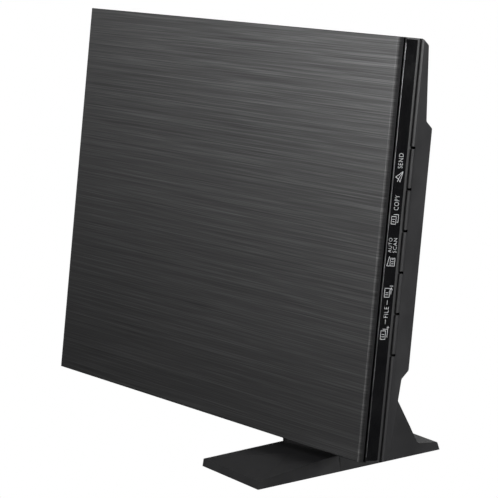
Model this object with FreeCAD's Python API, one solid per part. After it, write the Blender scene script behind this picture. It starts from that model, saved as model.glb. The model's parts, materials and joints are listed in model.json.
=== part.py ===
import FreeCAD, Part
import math
import os

from FreeCAD import Placement, Rotation, Vector

# A slim A4 flatbed scanner that stands on its long edge in a small detachable stand, for scanning
# books and pages in little desk space.
#
# Two frames are used, both in millimetres.
#   Scanner frame: the scanner upright. X runs from the hinge end to the button end, Y runs from the
#   lid's outer face into the body, and Z runs up from the edge that the scanner stands on.
#   Row frame: +Z up, origin on the floor under the middle of the whole object's box. seat() carries
#   a shape from the scanner frame into it.

# ---------------------------------------------------------------- driving dimensions
LENGTH = 367.0          # scanner, hinge end to button end
WIDTH = 250.0           # scanner, across
MID_Z = WIDTH / 2

LEAN_DEG = 10.12        # scanner leans back in its stand
TILT_DEG = 2.386        # button end stands higher than the hinge end
SEAT_HEIGHT = 2.846     # floor to the lid's lowest corner at the hinge end
ORIGIN_SHIFT = Vector(-178.28, -21.5, 0)

# Layers of the scanner, as depths from the lid's outer face
LID_DEPTH = 3.0
LID_SKIN = 1.3
LID_NOSE_R = 2.6
FRAME_TOP = 3.7
FRAME_PLATE = 1.6
GLASS_TOP = FRAME_TOP + FRAME_PLATE
GLASS_THICK = 2.8
GLASS_BACK = GLASS_TOP + GLASS_THICK
FRAME_BOTTOM = 14.2
RIM_TOP = 15.7          # base shell's outer rim starts here, below a dark groove
SIDE_DEPTH = 16.2       # the long sides run straight to here
WING_EDGE_DEPTH = 24.8
WING_DEPTH = 32.0
BASE_DEPTH = 42.0

WALL = 2.0
FRAME_WALL = 2.2
CLEAR = 0.3             # between bodies that pass each other
FIT = 0.02              # between pieces that are fixed together

# Base shell outline
SIDE_INSET = 3.5        # the sides lean in below SIDE_DEPTH
BUMP_FOOT_Z = 48.2      # deep middle part starts here, measured from each long side
BUMP_TOP_Z = 52.8
NOSE_KNEE_Y = 17.6      # the button end slopes back from here
NOSE_RUN = 16.7         # how far it slopes back by BASE_DEPTH
REAR_KNEE_Y = 25.0
REAR_RUN = 12.0

# Platen window, A4 with a little to spare
WINDOW_X0 = 43.0
WINDOW_X1 = 341.0
WINDOW_Z0 = 16.0
GLASS_X0 = 27.0
GLASS_X1 = 349.0
GLASS_Z0 = 9.0

# Hinges
PIVOT_X = 3.2
PIVOT_Y = 3.2
PIN_R = 1.0
BARREL_R = 2.2
BARREL_HALF = 7.0
LUG_WIDTH = 4.0
HINGE_ZS = (65.0, WIDTH - 65.0)
ARM_Y0 = 3.3
ARM_Y1 = 5.5
STEM_X0 = 16.0
STEM_X1 = 22.0
STEM_END_Y = 34.0
GROOVE_R = 4.5

# Buttons
BUTTON_NAMES = ("button_add_page", "button_finish", "button_auto_scan", "button_copy",
                "button_send")
BUTTON_PITCH = 24.5
BUTTON_GAP = 1.5
BUTTON_BACK_X = 364.2
BUTTON_Y0 = RIM_TOP + 0.15
BUTTON_Y1 = 19.45
STEM_MID_Y = 17.5
STEM_TIP_X = 359.6

# Scanning carriage and its drive
SENSOR_X = 35.0
CARRIAGE_HALF = 10.0
TRAY_Z0 = 9.0
TRAY_TOP = 10.5
TRAY_FLOOR = 20.5
TRAY_BACK = 22.0
HOUSING_TOP = 9.0
HOUSING_BACK = 17.5
TRAVEL = 305.0
ROD_Z = 95.0
ROD_Y = 26.5
ROD_R = 3.0
RUNNING = 0.06          # radial clearance of shafts that turn or slide
MOTOR_Z = 150.0
MOTOR_R = 8.0
PINION_TEETH = 12
WHEEL_TEETH = 40
FINE_MODULE = 0.5
RACK_GEAR_TEETH = 14
RACK_MODULE = 0.8
BACKLASH = 0.16
AXLE_R = 1.5
AXLE_Z = MOTOR_Z + FINE_MODULE * (PINION_TEETH + WHEEL_TEETH) / 2
WHEEL_Y0 = 23.2
WHEEL_Y1 = 24.9
RACK_GEAR_Y1 = 27.0

# Case screws
SCREW_SPOTS = ((10.0, 14.0), (10.0, WIDTH - 14.0), (356.5, 14.0), (356.5, WIDTH - 14.0))
SCREW_R = 1.2

# Stand, in the row frame before ORIGIN_SHIFT
STAND_X0 = 262.8
STAND_X1 = 325.8
STAND_FRONT = -44.9
STAND_BACK = 87.9
STAND_BOTTOM = 0.4
STAND_GAP = 0.15        # between the cradle and the scanner
PAD_R = 4.5
PAD_THICK = 1.6


# ---------------------------------------------------------------- helpers
def box(x0, x1, y0, y1, z0, z1):
    return Part.makeBox(x1 - x0, y1 - y0, z1 - z0, Vector(x0, y0, z0))


def rod_along_x(y, z, x0, x1, radius):
    return Part.makeCylinder(radius, x1 - x0, Vector(x0, y, z), Vector(1, 0, 0))


def rod_along_y(x, z, y0, y1, radius):
    return Part.makeCylinder(radius, y1 - y0, Vector(x, y0, z), Vector(0, 1, 0))


def rod_along_z(x, y, z0, z1, radius):
    return Part.makeCylinder(radius, z1 - z0, Vector(x, y, z0), Vector(0, 0, 1))


def outline(corners, to_vector):
    """A closed face from corners (a, b) or (a, b, corner radius), placed by to_vector(a, b)."""
    edges = []
    arcs = []
    count = len(corners)
    for i in range(count):
        here = corners[i]
        point = Vector(here[0], here[1], 0)
        radius = here[2] if len(here) > 2 else 0.0
        if radius == 0.0:
            arcs.append((point, None, point))
            continue
        before = corners[i - 1]
        after = corners[(i + 1) % count]
        back = (Vector(before[0], before[1], 0) - point).normalize()
        ahead = (Vector(after[0], after[1], 0) - point).normalize()
        half = math.acos(max(-1.0, min(1.0, back.dot(ahead)))) / 2
        reach = radius / math.tan(half)
        middle = (back + ahead).normalize()
        centre = point + middle * (radius / math.sin(half))
        arcs.append((point + back * reach, centre - middle * radius, point + ahead * reach))

    def place(vector):
        return to_vector(vector.x, vector.y)

    for i in range(count):
        start, top, end = arcs[i]
        if top is not None:
            edges.append(Part.Arc(place(start), place(top), place(end)).toShape())
        following = arcs[(i + 1) % count][0]
        if (following - end).Length > 1e-6:
            edges.append(Part.LineSegment(place(end), place(following)).toShape())
    return Part.Face(Part.Wire(edges))


def prism_x(corners_yz, x0, x1):
    face = outline(corners_yz, lambda a, b: Vector(x0, a, b))
    return face.extrude(Vector(x1 - x0, 0, 0))


def prism_y(corners_xz, y0, y1):
    face = outline(corners_xz, lambda a, b: Vector(a, y0, b))
    return face.extrude(Vector(0, y1 - y0, 0))


def prism_z(corners_xy, z0, z1):
    face = outline(corners_xy, lambda a, b: Vector(a, b, z0))
    return face.extrude(Vector(0, 0, z1 - z0))


def union(shapes):
    shapes = list(shapes)
    return shapes[0].multiFuse(shapes[1:]).removeSplitter() if len(shapes) > 1 else shapes[0]


def minus(shape, cutters):
    return shape.cut(list(cutters))


def group(shapes):
    return Part.makeCompound(list(shapes))


def solid_from_faces(loops):
    faces = [Part.Face(Part.makePolygon([*loop, loop[0]])) for loop in loops]
    solid = Part.Solid(Part.Shell(faces))
    if solid.Volume < 0:
        solid.reverse()
    return solid


SCANNER_TURN = Rotation(Vector(0, 1, 0), -TILT_DEG).multiply(Rotation(Vector(1, 0, 0), -LEAN_DEG))
SCANNER_PLACE = Placement(Vector(0, 0, SEAT_HEIGHT), SCANNER_TURN)
ROW_PLACE = Placement(ORIGIN_SHIFT, Rotation())


def moved(shape, placement):
    result = shape.copy()
    result.Placement = placement.multiply(result.Placement)
    return result


def lean(shape):
    """From the scanner frame to the leaning scanner on the floor."""
    return moved(shape, SCANNER_PLACE)


def save(name, shape):
    for solid in shape.Solids:
        if not solid.isValid():
            raise ValueError(name + " has a solid that is not valid")
    moved(shape, ROW_PLACE).exportStep("parts/" + name + ".step")
    print(name, len(shape.Solids), "solid(s)", round(shape.Volume / 1000, 2), "cm3")


def save_scanner(name, shape):
    save(name, lean(shape))


def ring(inset_out, inset_in, y0, y1):
    """A rectangular wall that follows the scanner's plan outline."""
    outer = box(inset_out, LENGTH - inset_out, y0, y1, inset_out, WIDTH - inset_out)
    inner = box(inset_in, LENGTH - inset_in, y0 - 1, y1 + 1, inset_in, WIDTH - inset_in)
    return outer.cut(inner)


# ---------------------------------------------------------------- lid
def lid_cover():
    rear = 9.0
    rim = 2.2
    edge_r = 0.6
    length_profile = [(0, 0, edge_r), (LENGTH, 0, LID_NOSE_R), (LENGTH, LID_DEPTH, 0.3),
                      (0, LID_DEPTH, 0.3)]
    width_section = [(0, 0, edge_r), (0, WIDTH, edge_r), (LID_DEPTH, WIDTH), (LID_DEPTH, 0)]
    plate = prism_z(length_profile, 0, WIDTH).common(prism_x(width_section, 0, LENGTH))
    hollow = box(rear, LENGTH - rim, LID_SKIN, LID_DEPTH + 1, rim, WIDTH - rim)
    lugs = []
    cuts = [hollow]
    for z in HINGE_ZS:
        notch_half = BARREL_HALF + CLEAR
        for side in (-1, 1):
            near = z + side * notch_half
            far = near + side * LUG_WIDTH
            lugs.append(rod_along_z(PIVOT_X, PIVOT_Y, min(near, far), max(near, far), BARREL_R))
        cuts.append(rod_along_z(PIVOT_X, PIVOT_Y, z - notch_half, z + notch_half,
                                BARREL_R + CLEAR))
        reach = notch_half + LUG_WIDTH - 0.2
        cuts.append(rod_along_z(PIVOT_X, PIVOT_Y, z - reach, z + reach, PIN_R + RUNNING))
    return minus(union([plate] + lugs), cuts)


PANEL_Y0 = LID_SKIN + 0.05
PANEL_Y1 = 2.1
PAD_Y1 = 4.7
SHEET_Y1 = 5.0
PAD_MARGIN = 2.5


def lid_inner_panel():
    plate = box(11, LENGTH - 4, PANEL_Y0, PANEL_Y1, 3, WIDTH - 3)
    lip = 1.2
    x0 = WINDOW_X0 + PAD_MARGIN - 0.4
    x1 = WINDOW_X1 - PAD_MARGIN + 0.4
    z0 = WINDOW_Z0 + PAD_MARGIN - 0.4
    fence = box(x0 - lip, x1 + lip, PANEL_Y1, LID_DEPTH - 0.1, z0 - lip, WIDTH - z0 + lip)
    fence = fence.cut(box(x0, x1, PANEL_Y1, LID_DEPTH, z0, WIDTH - z0))
    return union([plate, fence])


def pad_layer(y0, y1):
    corner_r = 3.0
    x0 = WINDOW_X0 + PAD_MARGIN
    x1 = WINDOW_X1 - PAD_MARGIN
    z0 = WINDOW_Z0 + PAD_MARGIN
    z1 = WIDTH - z0
    return prism_y([(x0, z0, corner_r), (x1, z0, corner_r), (x1, z1, corner_r),
                    (x0, z1, corner_r)], y0, y1)


# ---------------------------------------------------------------- hinge legs
def hinge_leg(z):
    barrel = rod_along_z(PIVOT_X, PIVOT_Y, z - BARREL_HALF, z + BARREL_HALF, BARREL_R)
    arm = box(PIVOT_X, STEM_X1, ARM_Y0, ARM_Y1, z - BARREL_HALF, z + BARREL_HALF)
    tip_r = 1.0
    stem = prism_z([(STEM_X0, ARM_Y0), (STEM_X1, ARM_Y0), (STEM_X1, STEM_END_Y, tip_r),
                    (STEM_X0, STEM_END_Y, tip_r)], z - BARREL_HALF, z + BARREL_HALF)
    bore = rod_along_z(PIVOT_X, PIVOT_Y, z - BARREL_HALF - 1, z + BARREL_HALF + 1, PIN_R + FIT)
    return minus(union([barrel, arm, stem]), [bore])


def hinge_pin(z):
    half = BARREL_HALF + CLEAR + LUG_WIDTH - 0.5
    return rod_along_z(PIVOT_X, PIVOT_Y, z - half, z + half, PIN_R)


def well(z, y0, y1):
    gap = 0.2
    return box(STEM_X0 - gap, STEM_X1 + gap, y0, y1, z - BARREL_HALF - gap, z + BARREL_HALF + gap)


# ---------------------------------------------------------------- platen frame and glass
STRIP_Y0 = 4.95
STRIP_Y1 = 13.0
STRIP_DEPTH = 0.5


def strip_shape(grow):
    end = 1.0 - grow
    corner_r = 1.2
    face = [(STRIP_Y0 - grow, end), (STRIP_Y1 + grow, end, corner_r),
            (STRIP_Y1 + grow, WIDTH - end, corner_r), (STRIP_Y0 - grow, WIDTH - end)]
    return prism_x(face, LENGTH - STRIP_DEPTH, LENGTH + grow)


def platen_frame():
    front_bevel = 1.2
    side_bevel = 0.6
    length_profile = [(0, FRAME_TOP), (LENGTH - front_bevel, FRAME_TOP),
                      (LENGTH, FRAME_TOP + front_bevel), (LENGTH, FRAME_BOTTOM), (0, FRAME_BOTTOM)]
    width_section = [(FRAME_TOP, side_bevel), (FRAME_TOP + side_bevel, 0), (FRAME_BOTTOM, 0),
                     (FRAME_BOTTOM, WIDTH), (FRAME_TOP + side_bevel, WIDTH),
                     (FRAME_TOP, WIDTH - side_bevel)]
    outer = prism_z(length_profile, 0, WIDTH).common(prism_x(width_section, 0, LENGTH))
    hollow = box(FRAME_WALL, LENGTH - FRAME_WALL, GLASS_TOP, FRAME_BOTTOM + 1, FRAME_WALL,
                 WIDTH - FRAME_WALL)
    window_r = 2.0
    window_z1 = WIDTH - WINDOW_Z0
    window = prism_y([(WINDOW_X0, WINDOW_Z0, window_r), (WINDOW_X1, WINDOW_Z0, window_r),
                      (WINDOW_X1, window_z1, window_r), (WINDOW_X0, window_z1, window_r)],
                     FRAME_TOP - 1, GLASS_TOP + 1)
    shell = minus(outer, [hollow, window])

    additions = [box(1.0, 9.5, GLASS_TOP, 9.5, 1.0, WIDTH - 1.0)]
    rib = 1.2
    rib_gap = 0.1
    fence = box(GLASS_X0 - rib_gap - rib, GLASS_X1 + rib_gap + rib, GLASS_TOP, HOUSING_TOP,
                GLASS_Z0 - rib_gap - rib, WIDTH - GLASS_Z0 + rib_gap + rib)
    fence = fence.cut(box(GLASS_X0 - rib_gap, GLASS_X1 + rib_gap, GLASS_TOP - 1, HOUSING_TOP + 1,
                          GLASS_Z0 - rib_gap, WIDTH - GLASS_Z0 + rib_gap))
    additions.append(fence)
    lip_room = ring(FRAME_WALL, 3.6, 12.4, FRAME_BOTTOM + 1)
    for z in HINGE_ZS:
        boss = box(1.0, 24.6, GLASS_TOP, FRAME_BOTTOM - 0.1, z - 10, z + 10)
        additions.append(boss.cut(lip_room))
    for x, z in SCREW_SPOTS:
        additions.append(rod_along_y(x, z, GLASS_TOP, RIM_TOP + 0.2, 3.2))
    shell = union([shell] + additions)

    cuts = [rod_along_z(PIVOT_X, PIVOT_Y, -1, WIDTH + 1, GROOVE_R), strip_shape(FIT)]
    cuts.append(calibration_strip(FIT))
    for z in HINGE_ZS:
        pocket_half = BARREL_HALF + 1.0
        cuts.append(box(-1, STEM_X1 + 0.2, FRAME_TOP - 1, ARM_Y1 + CLEAR, z - pocket_half,
                        z + pocket_half))
        cuts.append(well(z, FRAME_TOP, FRAME_BOTTOM + 1))
    for x, z in SCREW_SPOTS:
        cuts.append(rod_along_y(x, z, 7.5, RIM_TOP + 1, SCREW_R + 0.05))
    return minus(shell, cuts)


def calibration_strip(grow):
    thick = 0.35
    return box(30 - grow, 40 + grow, GLASS_TOP - thick - grow, GLASS_TOP, 14 - grow,
               WIDTH - 14 + grow)


def platen_glass():
    return box(GLASS_X0, GLASS_X1, GLASS_TOP, GLASS_BACK, GLASS_Z0, WIDTH - GLASS_Z0)


# ---------------------------------------------------------------- base shell
def base_section(inset, top):
    """Cross-section of the base in (depth, height): two thin wings and a deep middle."""
    round_in = 2.0
    half = [(top, inset), (SIDE_DEPTH, inset),
            (WING_EDGE_DEPTH - inset, SIDE_INSET + inset, 1.5),
            (WING_DEPTH - inset, BUMP_FOOT_Z + inset * 0.6, round_in),
            (BASE_DEPTH - inset, BUMP_TOP_Z + inset * 0.6, 3.0)]
    mirrored = [(corner[0], WIDTH - corner[1]) + tuple(corner[2:]) for corner in reversed(half)]
    return half + mirrored


def nose_x(depth):
    """X of the sloping button end at a given depth."""
    return LENGTH - (depth - NOSE_KNEE_Y) * NOSE_RUN / (BASE_DEPTH - NOSE_KNEE_Y)


def base_profile(inset, top, rim_r):
    nose_inset = inset * 1.27
    return [(inset, top), (LENGTH - nose_inset, top, rim_r), (LENGTH - nose_inset, NOSE_KNEE_Y, 0.8),
            (LENGTH - NOSE_RUN - nose_inset * 0.7, BASE_DEPTH - inset, 2.5),
            (REAR_RUN + inset * 0.5, BASE_DEPTH - inset, 2.5), (inset, REAR_KNEE_Y, 1.5)]


def base_block(inset, top, rim_r=0.0):
    across = prism_x(base_section(inset, top), 0, LENGTH)
    along = prism_z(base_profile(inset, top, rim_r), 0, WIDTH)
    return across.common(along)


BUTTON_ZS = [MID_Z + BUTTON_PITCH * (i - 2) for i in range(5)]
BUTTON_WINDOW_HALF = BUTTON_PITCH * 2.5 + BUTTON_GAP / 2
FOOT_SPOTS = [(x, z) for x in (45.0, 325.0) for z in (78.0, WIDTH - 78.0)]
FOOT_R = 6.0
FOOT_PROUD = 0.8
BOARD_Y0 = 22.0
USB_Z0 = 120.0
USB_Z1 = 129.0
ROD_X0 = 9.5
ROD_X1 = 353.6
REAR_CLIP = (7.5, 12.5)
FRONT_CLIP = (350.4, 353.6)


def base_shell():
    outer = base_block(0.0, RIM_TOP, 0.7)
    cavity = base_block(WALL, RIM_TOP - 3)
    tray = outer.cut(cavity)
    step = ring(1.0, 3.5, FRAME_BOTTOM + 0.05, RIM_TOP)
    lip = ring(FRAME_WALL + 0.1, 3.5, 12.5, RIM_TOP)
    neck = box(1.0, LENGTH - 1.0, RIM_TOP - 0.1, RIM_TOP + 1, 1.0, WIDTH - 1.0)
    neck = neck.cut(box(3.5, LENGTH - 3.5, RIM_TOP - 1, RIM_TOP + 2, 3.5, WIDTH - 3.5))
    tray = union([tray, step, lip, neck])

    inner = []
    for z in HINGE_ZS:
        tube = box(STEM_X0 - 1.8, STEM_X1 + 1.8, FRAME_BOTTOM + 0.2, BASE_DEPTH - 1, z - 9, z + 9)
        inner.append(tube)
    for x, z in SCREW_SPOTS:
        inner.append(rod_along_y(x, z, RIM_TOP + 0.3, BASE_DEPTH, 4.5))
    for x0, x1 in (REAR_CLIP, FRONT_CLIP):
        inner.append(box(x0, x1, ROD_Y, BASE_DEPTH - 1, ROD_Z - 6, ROD_Z + 6))
    inner.append(box(28, 348, RACK_GEAR_Y1 + 0.05, BASE_DEPTH - 1, RACK_BACK_Z - 3.5, RACK_BACK_Z))
    for z in (108.0, 166.0):
        inner.append(rod_along_y(19, z, BOARD_Y0 + 1.65, BASE_DEPTH - 1, 2.5))
    for z in (58.0, WIDTH - 58.0):
        inner.append(box(353.8, 358, 20.05, BASE_DEPTH, z - 1, z + 1))
    inner.append(box(360.6, 362.4, FRAME_BOTTOM + 0.1, 23, MID_Z - BUTTON_WINDOW_HALF - 2,
                     MID_Z + BUTTON_WINDOW_HALF + 2))
    envelope = base_block(0.5, FRAME_BOTTOM)
    tray = union([tray] + [piece.common(envelope) for piece in inner])

    cuts = [box(362.4, LENGTH + 1, RIM_TOP, BUTTON_Y1 + 0.15, MID_Z - BUTTON_WINDOW_HALF,
                MID_Z + BUTTON_WINDOW_HALF)]
    for z in BUTTON_ZS:
        cuts.append(box(360, 363, STEM_MID_Y - 1.3, STEM_MID_Y + 1.3, z - 2.3, z + 2.3))
    for z in HINGE_ZS:
        cuts.append(well(z, FRAME_BOTTOM, STEM_END_Y + CLEAR))
    for x, z in SCREW_SPOTS:
        cuts.append(rod_along_y(x, z, RIM_TOP, BASE_DEPTH, SCREW_R + 0.4))
        cuts.append(rod_along_y(x, z, 22.0, BASE_DEPTH, 3.1))
    for x, z in FOOT_SPOTS:
        cuts.append(rod_along_y(x, z, BASE_DEPTH - 0.8, BASE_DEPTH + 1, FOOT_R + 0.05))
    cuts.append(rod_along_x(ROD_Y, ROD_Z, ROD_X0 - 0.1, ROD_X1 + 0.1, ROD_R + 0.05))
    cuts.append(box(-1, 2.6, 18.5, 22.2, USB_Z0 - 0.2, USB_Z1 + 0.2))
    return minus(tray, cuts)


def base_foot(x, z):
    y0 = BASE_DEPTH - 0.8
    y1 = BASE_DEPTH + FOOT_PROUD
    disc = rod_along_y(x, z, y0, y1, FOOT_R)
    return disc.makeChamfer(0.4, [edge for edge in disc.Edges
                                  if abs(edge.BoundBox.YMin - y1) < 1e-3
                                  and abs(edge.BoundBox.YMax - y1) < 1e-3])


def case_screw(x, z):
    shank = rod_along_y(x, z, 9.0, 22.0, SCREW_R)
    head = rod_along_y(x, z, 22.0, 23.6, 2.8)
    slot_half = 0.4
    drive = [box(x - 1.6, x + 1.6, 22.8, 24, z - slot_half, z + slot_half),
             box(x - slot_half, x + slot_half, 22.8, 24, z - 1.6, z + 1.6)]
    return minus(union([shank, head]), drive)


# ---------------------------------------------------------------- buttons
def button(z):
    half = (BUTTON_PITCH - BUTTON_GAP) / 2
    cap = prism_z([(BUTTON_BACK_X, BUTTON_Y0), (LENGTH, BUTTON_Y0, 0.7), (LENGTH, NOSE_KNEE_Y, 0.8),
                   (nose_x(BUTTON_Y1), BUTTON_Y1, 0.3), (BUTTON_BACK_X, BUTTON_Y1)],
                  z - half, z + half)
    stem = box(STEM_TIP_X, BUTTON_BACK_X, STEM_MID_Y - 1, STEM_MID_Y + 1, z - 2, z + 2)
    return union([cap, stem])


def button_board():
    return box(355, 356.6, 9.5, 20, 55, WIDTH - 55)


def button_switch(z):
    body = box(356.6, 358, STEM_MID_Y - 2.25, STEM_MID_Y + 2.25, z - 2.25, z + 2.25)
    plunger = rod_along_x(STEM_MID_Y, z, 358, 358.8, 1.2)
    return union([body, plunger])


# ---------------------------------------------------------------- electronics
def main_board():
    board = box(3, 23, BOARD_Y0, BOARD_Y0 + 1.6, 102, 172)
    chips = [box(8, 20, BOARD_Y0 - 1.2, BOARD_Y0, 134, 146),
             box(10, 16, BOARD_Y0 - 1.4, BOARD_Y0, 150, 158),
             box(11, 20, BOARD_Y0 - 1.0, BOARD_Y0, 161, 168)]
    return union([board] + chips)


def usb_socket():
    shell = box(0.4, 8, 18.75, BOARD_Y0, USB_Z0, USB_Z1)
    mouth = box(0, 6, 19.1, 21.65, USB_Z0 + 0.4, USB_Z1 - 0.4)
    tongue = box(1.4, 6.5, 20.05, 20.7, USB_Z0 + 1.2, USB_Z1 - 1.2)
    return union([shell.cut(mouth), tongue])


def flex_cable():
    """The fixed run of the flat sensor cable, from the main board to the middle of the floor."""
    thick = 0.3
    floor = BASE_DEPTH - WALL - 0.05
    start_y = BOARD_Y0 + 1.65
    run = [(21, start_y), (24.4, start_y, 0.8), (24.4, floor - thick, 0.8), (188, floor - thick),
           (188, floor), (24.4 - thick, floor, 1.1), (24.4 - thick, start_y + thick, 0.5),
           (21, start_y + thick)]
    return prism_z(run, 112, 128)


# ---------------------------------------------------------------- carriage
def carriage_tray():
    x0 = SENSOR_X - CARRIAGE_HALF
    x1 = SENSOR_X + CARRIAGE_HALF
    side = 1.5
    trough = box(x0, x1, TRAY_TOP, TRAY_BACK, TRAY_Z0, WIDTH - TRAY_Z0)
    trough = trough.cut(box(x0 + side, x1 - side, TRAY_TOP - 1, TRAY_FLOOR, TRAY_Z0 + side,
                            WIDTH - TRAY_Z0 - side))
    block = prism_x([(TRAY_BACK - 0.5, ROD_Z - 6.5), (ROD_Y + 2, ROD_Z - 6.5, 1.5),
                     (ROD_Y + 5.5, ROD_Z - 3, 1.5), (ROD_Y + 5.5, ROD_Z + 3, 1.5),
                     (ROD_Y + 2, ROD_Z + 6.5, 1.5), (TRAY_BACK - 0.5, ROD_Z + 6.5)],
                    SENSOR_X - 9, SENSOR_X + 9)
    posts = [rod_along_y(SENSOR_X + dx, MOTOR_Z - 9.5, TRAY_BACK - 0.5, BRACKET_Y0 - FIT, 2.2)
             for dx in (-5.5, 5.5)]
    bush_hole = rod_along_x(ROD_Y, ROD_Z, SENSOR_X - 10, SENSOR_X + 10, BUSH_R + FIT)
    axle_hole = rod_along_y(SENSOR_X, AXLE_Z, TRAY_FLOOR - 1, TRAY_BACK + 1, AXLE_R + FIT)
    return minus(union([trough, block] + posts), [bush_hole, axle_hole])


BUSH_R = 4.3
BRACKET_Y0 = 26.0
BRACKET_Y1 = 27.15


def rod_bush(x0, x1):
    sleeve = rod_along_x(ROD_Y, ROD_Z, x0, x1, BUSH_R)
    return sleeve.cut(rod_along_x(ROD_Y, ROD_Z, x0 - 1, x1 + 1, ROD_R + RUNNING))


LENS = (33.6, 36.4, 8.8, 12.0)
GUIDE = (38.0, 41.2, 8.9, 11.6)
BAR_Z0 = 18.0


def optic_bar(spec, grow):
    x0, x1, y0, y1 = spec
    return box(x0 - grow, x1 + grow, y0, y1 + grow, BAR_Z0 - grow, WIDTH - BAR_Z0 + grow)


def sensor_housing():
    z0 = TRAY_Z0 + 3
    body = prism_z([(SENSOR_X - 8, HOUSING_TOP, 1.0), (SENSOR_X + 8, HOUSING_TOP, 1.0),
                    (SENSOR_X + 8, HOUSING_BACK), (SENSOR_X - 8, HOUSING_BACK)],
                   z0, WIDTH - z0)
    board_recess = box(SENSOR_X - 7, SENSOR_X + 7, HOUSING_BACK - 1, HOUSING_BACK + 1, 24,
                       WIDTH - 24)
    return minus(body, [optic_bar(LENS, FIT), optic_bar(GUIDE, FIT), board_recess])


def sensor_board():
    return box(SENSOR_X - 6.9, SENSOR_X + 6.9, HOUSING_BACK - 0.98, HOUSING_BACK + 0.4, 24.1,
               WIDTH - 24.1)


def glass_spacer(x, z):
    pad_r = 1.6
    return rod_along_y(x, z, GLASS_BACK + 0.25, HOUSING_TOP, pad_r)


def carriage_spring(z):
    """A bowed leaf that presses the sensor housing towards the glass."""
    thick = 0.3
    low = TRAY_FLOOR - 0.02
    high = HOUSING_BACK + 0.05
    foot = 4.5
    crest = 1.2
    leaf = [(low, z - foot - 1), (low, z - foot, 1.0), (high + thick, z - crest, 1.0),
            (high + thick, z + crest, 1.0), (low, z + foot, 1.0), (low, z + foot + 1),
            (low - thick, z + foot + 1), (low - thick, z + foot - 0.1, 1.0),
            (high, z + crest + 0.1, 1.0), (high, z - crest - 0.1, 1.0),
            (low - thick, z - foot + 0.1, 1.0), (low - thick, z - foot - 1)]
    return prism_x(leaf, SENSOR_X - 3, SENSOR_X + 3)


# ---------------------------------------------------------------- motor and gears
def involute(angle):
    return math.tan(angle) - angle


def gear_face(teeth, module, y, phase):
    """A spur gear outline with 20 degree involute flanks, in the plane at depth y."""
    pressure = math.radians(20)
    pitch_r = teeth * module / 2
    base_r = pitch_r * math.cos(pressure)
    tip_r = pitch_r + 0.9 * module
    root_r = pitch_r - 1.2 * module
    half_pitch_tooth = math.pi / (2 * teeth) - BACKLASH / (2 * pitch_r)
    start_r = max(base_r, root_r + 0.05)
    flank = []
    steps = 4
    for i in range(steps):
        radius = start_r + (tip_r - start_r) * i / (steps - 1)
        angle = math.acos(min(1.0, base_r / radius))
        flank.append((radius, half_pitch_tooth + involute(pressure) - involute(angle)))
    root_angle = flank[0][1]
    points = []
    for tooth in range(teeth):
        middle = phase + 2 * math.pi * tooth / teeth
        points.append((root_r, middle - root_angle))
        points += [(radius, middle - angle) for radius, angle in flank]
        points += [(radius, middle + angle) for radius, angle in reversed(flank)]
        points.append((root_r, middle + root_angle))
    corners = [Vector(r * math.sin(a), y, r * math.cos(a)) for r, a in points]
    return Part.Face(Part.makePolygon([*corners, corners[0]]))


def gear(teeth, module, y0, y1, z, phase):
    """Angle zero of the phase puts a tooth towards +Z."""
    blank = gear_face(teeth, module, y0, phase).extrude(Vector(0, y1 - y0, 0))
    return moved(blank, Placement(Vector(SENSOR_X, 0, z), Rotation()))


def motor_pinion():
    teeth = gear(PINION_TEETH, FINE_MODULE, WHEEL_Y0, WHEEL_Y1 + 0.3, MOTOR_Z, 0.0)
    return teeth.cut(rod_along_y(SENSOR_X, MOTOR_Z, WHEEL_Y0 - 1, WHEEL_Y1 + 2, 1.0 + FIT))


def reduction_gear():
    gap_towards_pinion = math.pi + math.pi / WHEEL_TEETH
    wheel = gear(WHEEL_TEETH, FINE_MODULE, WHEEL_Y0, WHEEL_Y1, AXLE_Z, gap_towards_pinion)
    small = gear(RACK_GEAR_TEETH, RACK_MODULE, WHEEL_Y1 - 0.01, RACK_GEAR_Y1, AXLE_Z, 0.0)
    bore = rod_along_y(SENSOR_X, AXLE_Z, WHEEL_Y0 - 1, RACK_GEAR_Y1 + 1, AXLE_R + RUNNING)
    return union([wheel, small]).cut(bore)


RACK_PITCH_Z = AXLE_Z + RACK_GEAR_TEETH * RACK_MODULE / 2
RACK_BACK_Z = 174.0


def drive_rack():
    """Straight teeth along the floor, with a gap facing the gear at home."""
    pitch = math.pi * RACK_MODULE
    slope = math.tan(math.radians(20))
    tip_z = RACK_PITCH_Z - 0.9 * RACK_MODULE
    root_z = RACK_PITCH_Z + 1.2 * RACK_MODULE
    half_pitch_tooth = pitch / 4 - BACKLASH / 2
    first = -2
    last = int(TRAVEL / pitch) + 2
    corners = []
    for tooth in range(first, last):
        middle = SENSOR_X + (tooth + 0.5) * pitch
        at_tip = half_pitch_tooth - slope * (RACK_PITCH_Z - tip_z)
        at_root = half_pitch_tooth + slope * (root_z - RACK_PITCH_Z)
        corners += [(middle - at_root, root_z), (middle - at_tip, tip_z), (middle + at_tip, tip_z),
                    (middle + at_root, root_z)]
    corners += [(corners[-1][0], RACK_BACK_Z), (corners[0][0], RACK_BACK_Z)]
    return prism_y(corners, WHEEL_Y1 + 0.15, RACK_GEAR_Y1)


def gear_axle():
    pin = rod_along_y(SENSOR_X, AXLE_Z, TRAY_FLOOR + 0.1, RACK_GEAR_Y1 + 0.6, AXLE_R)
    head = rod_along_y(SENSOR_X, AXLE_Z, RACK_GEAR_Y1 + 0.1, RACK_GEAR_Y1 + 0.6, 2.4)
    return union([pin, head])


def motor_bracket():
    plate = prism_y([(SENSOR_X - 9, MOTOR_Z - 13, 2), (SENSOR_X + 9, MOTOR_Z - 13, 2),
                     (SENSOR_X + 9, MOTOR_Z + 5.5, 2), (SENSOR_X - 9, MOTOR_Z + 5.5, 2)],
                    BRACKET_Y0, BRACKET_Y1)
    return plate.cut(rod_along_y(SENSOR_X, MOTOR_Z, BRACKET_Y0 - 1, BRACKET_Y1 + 1, 2.5))


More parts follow.
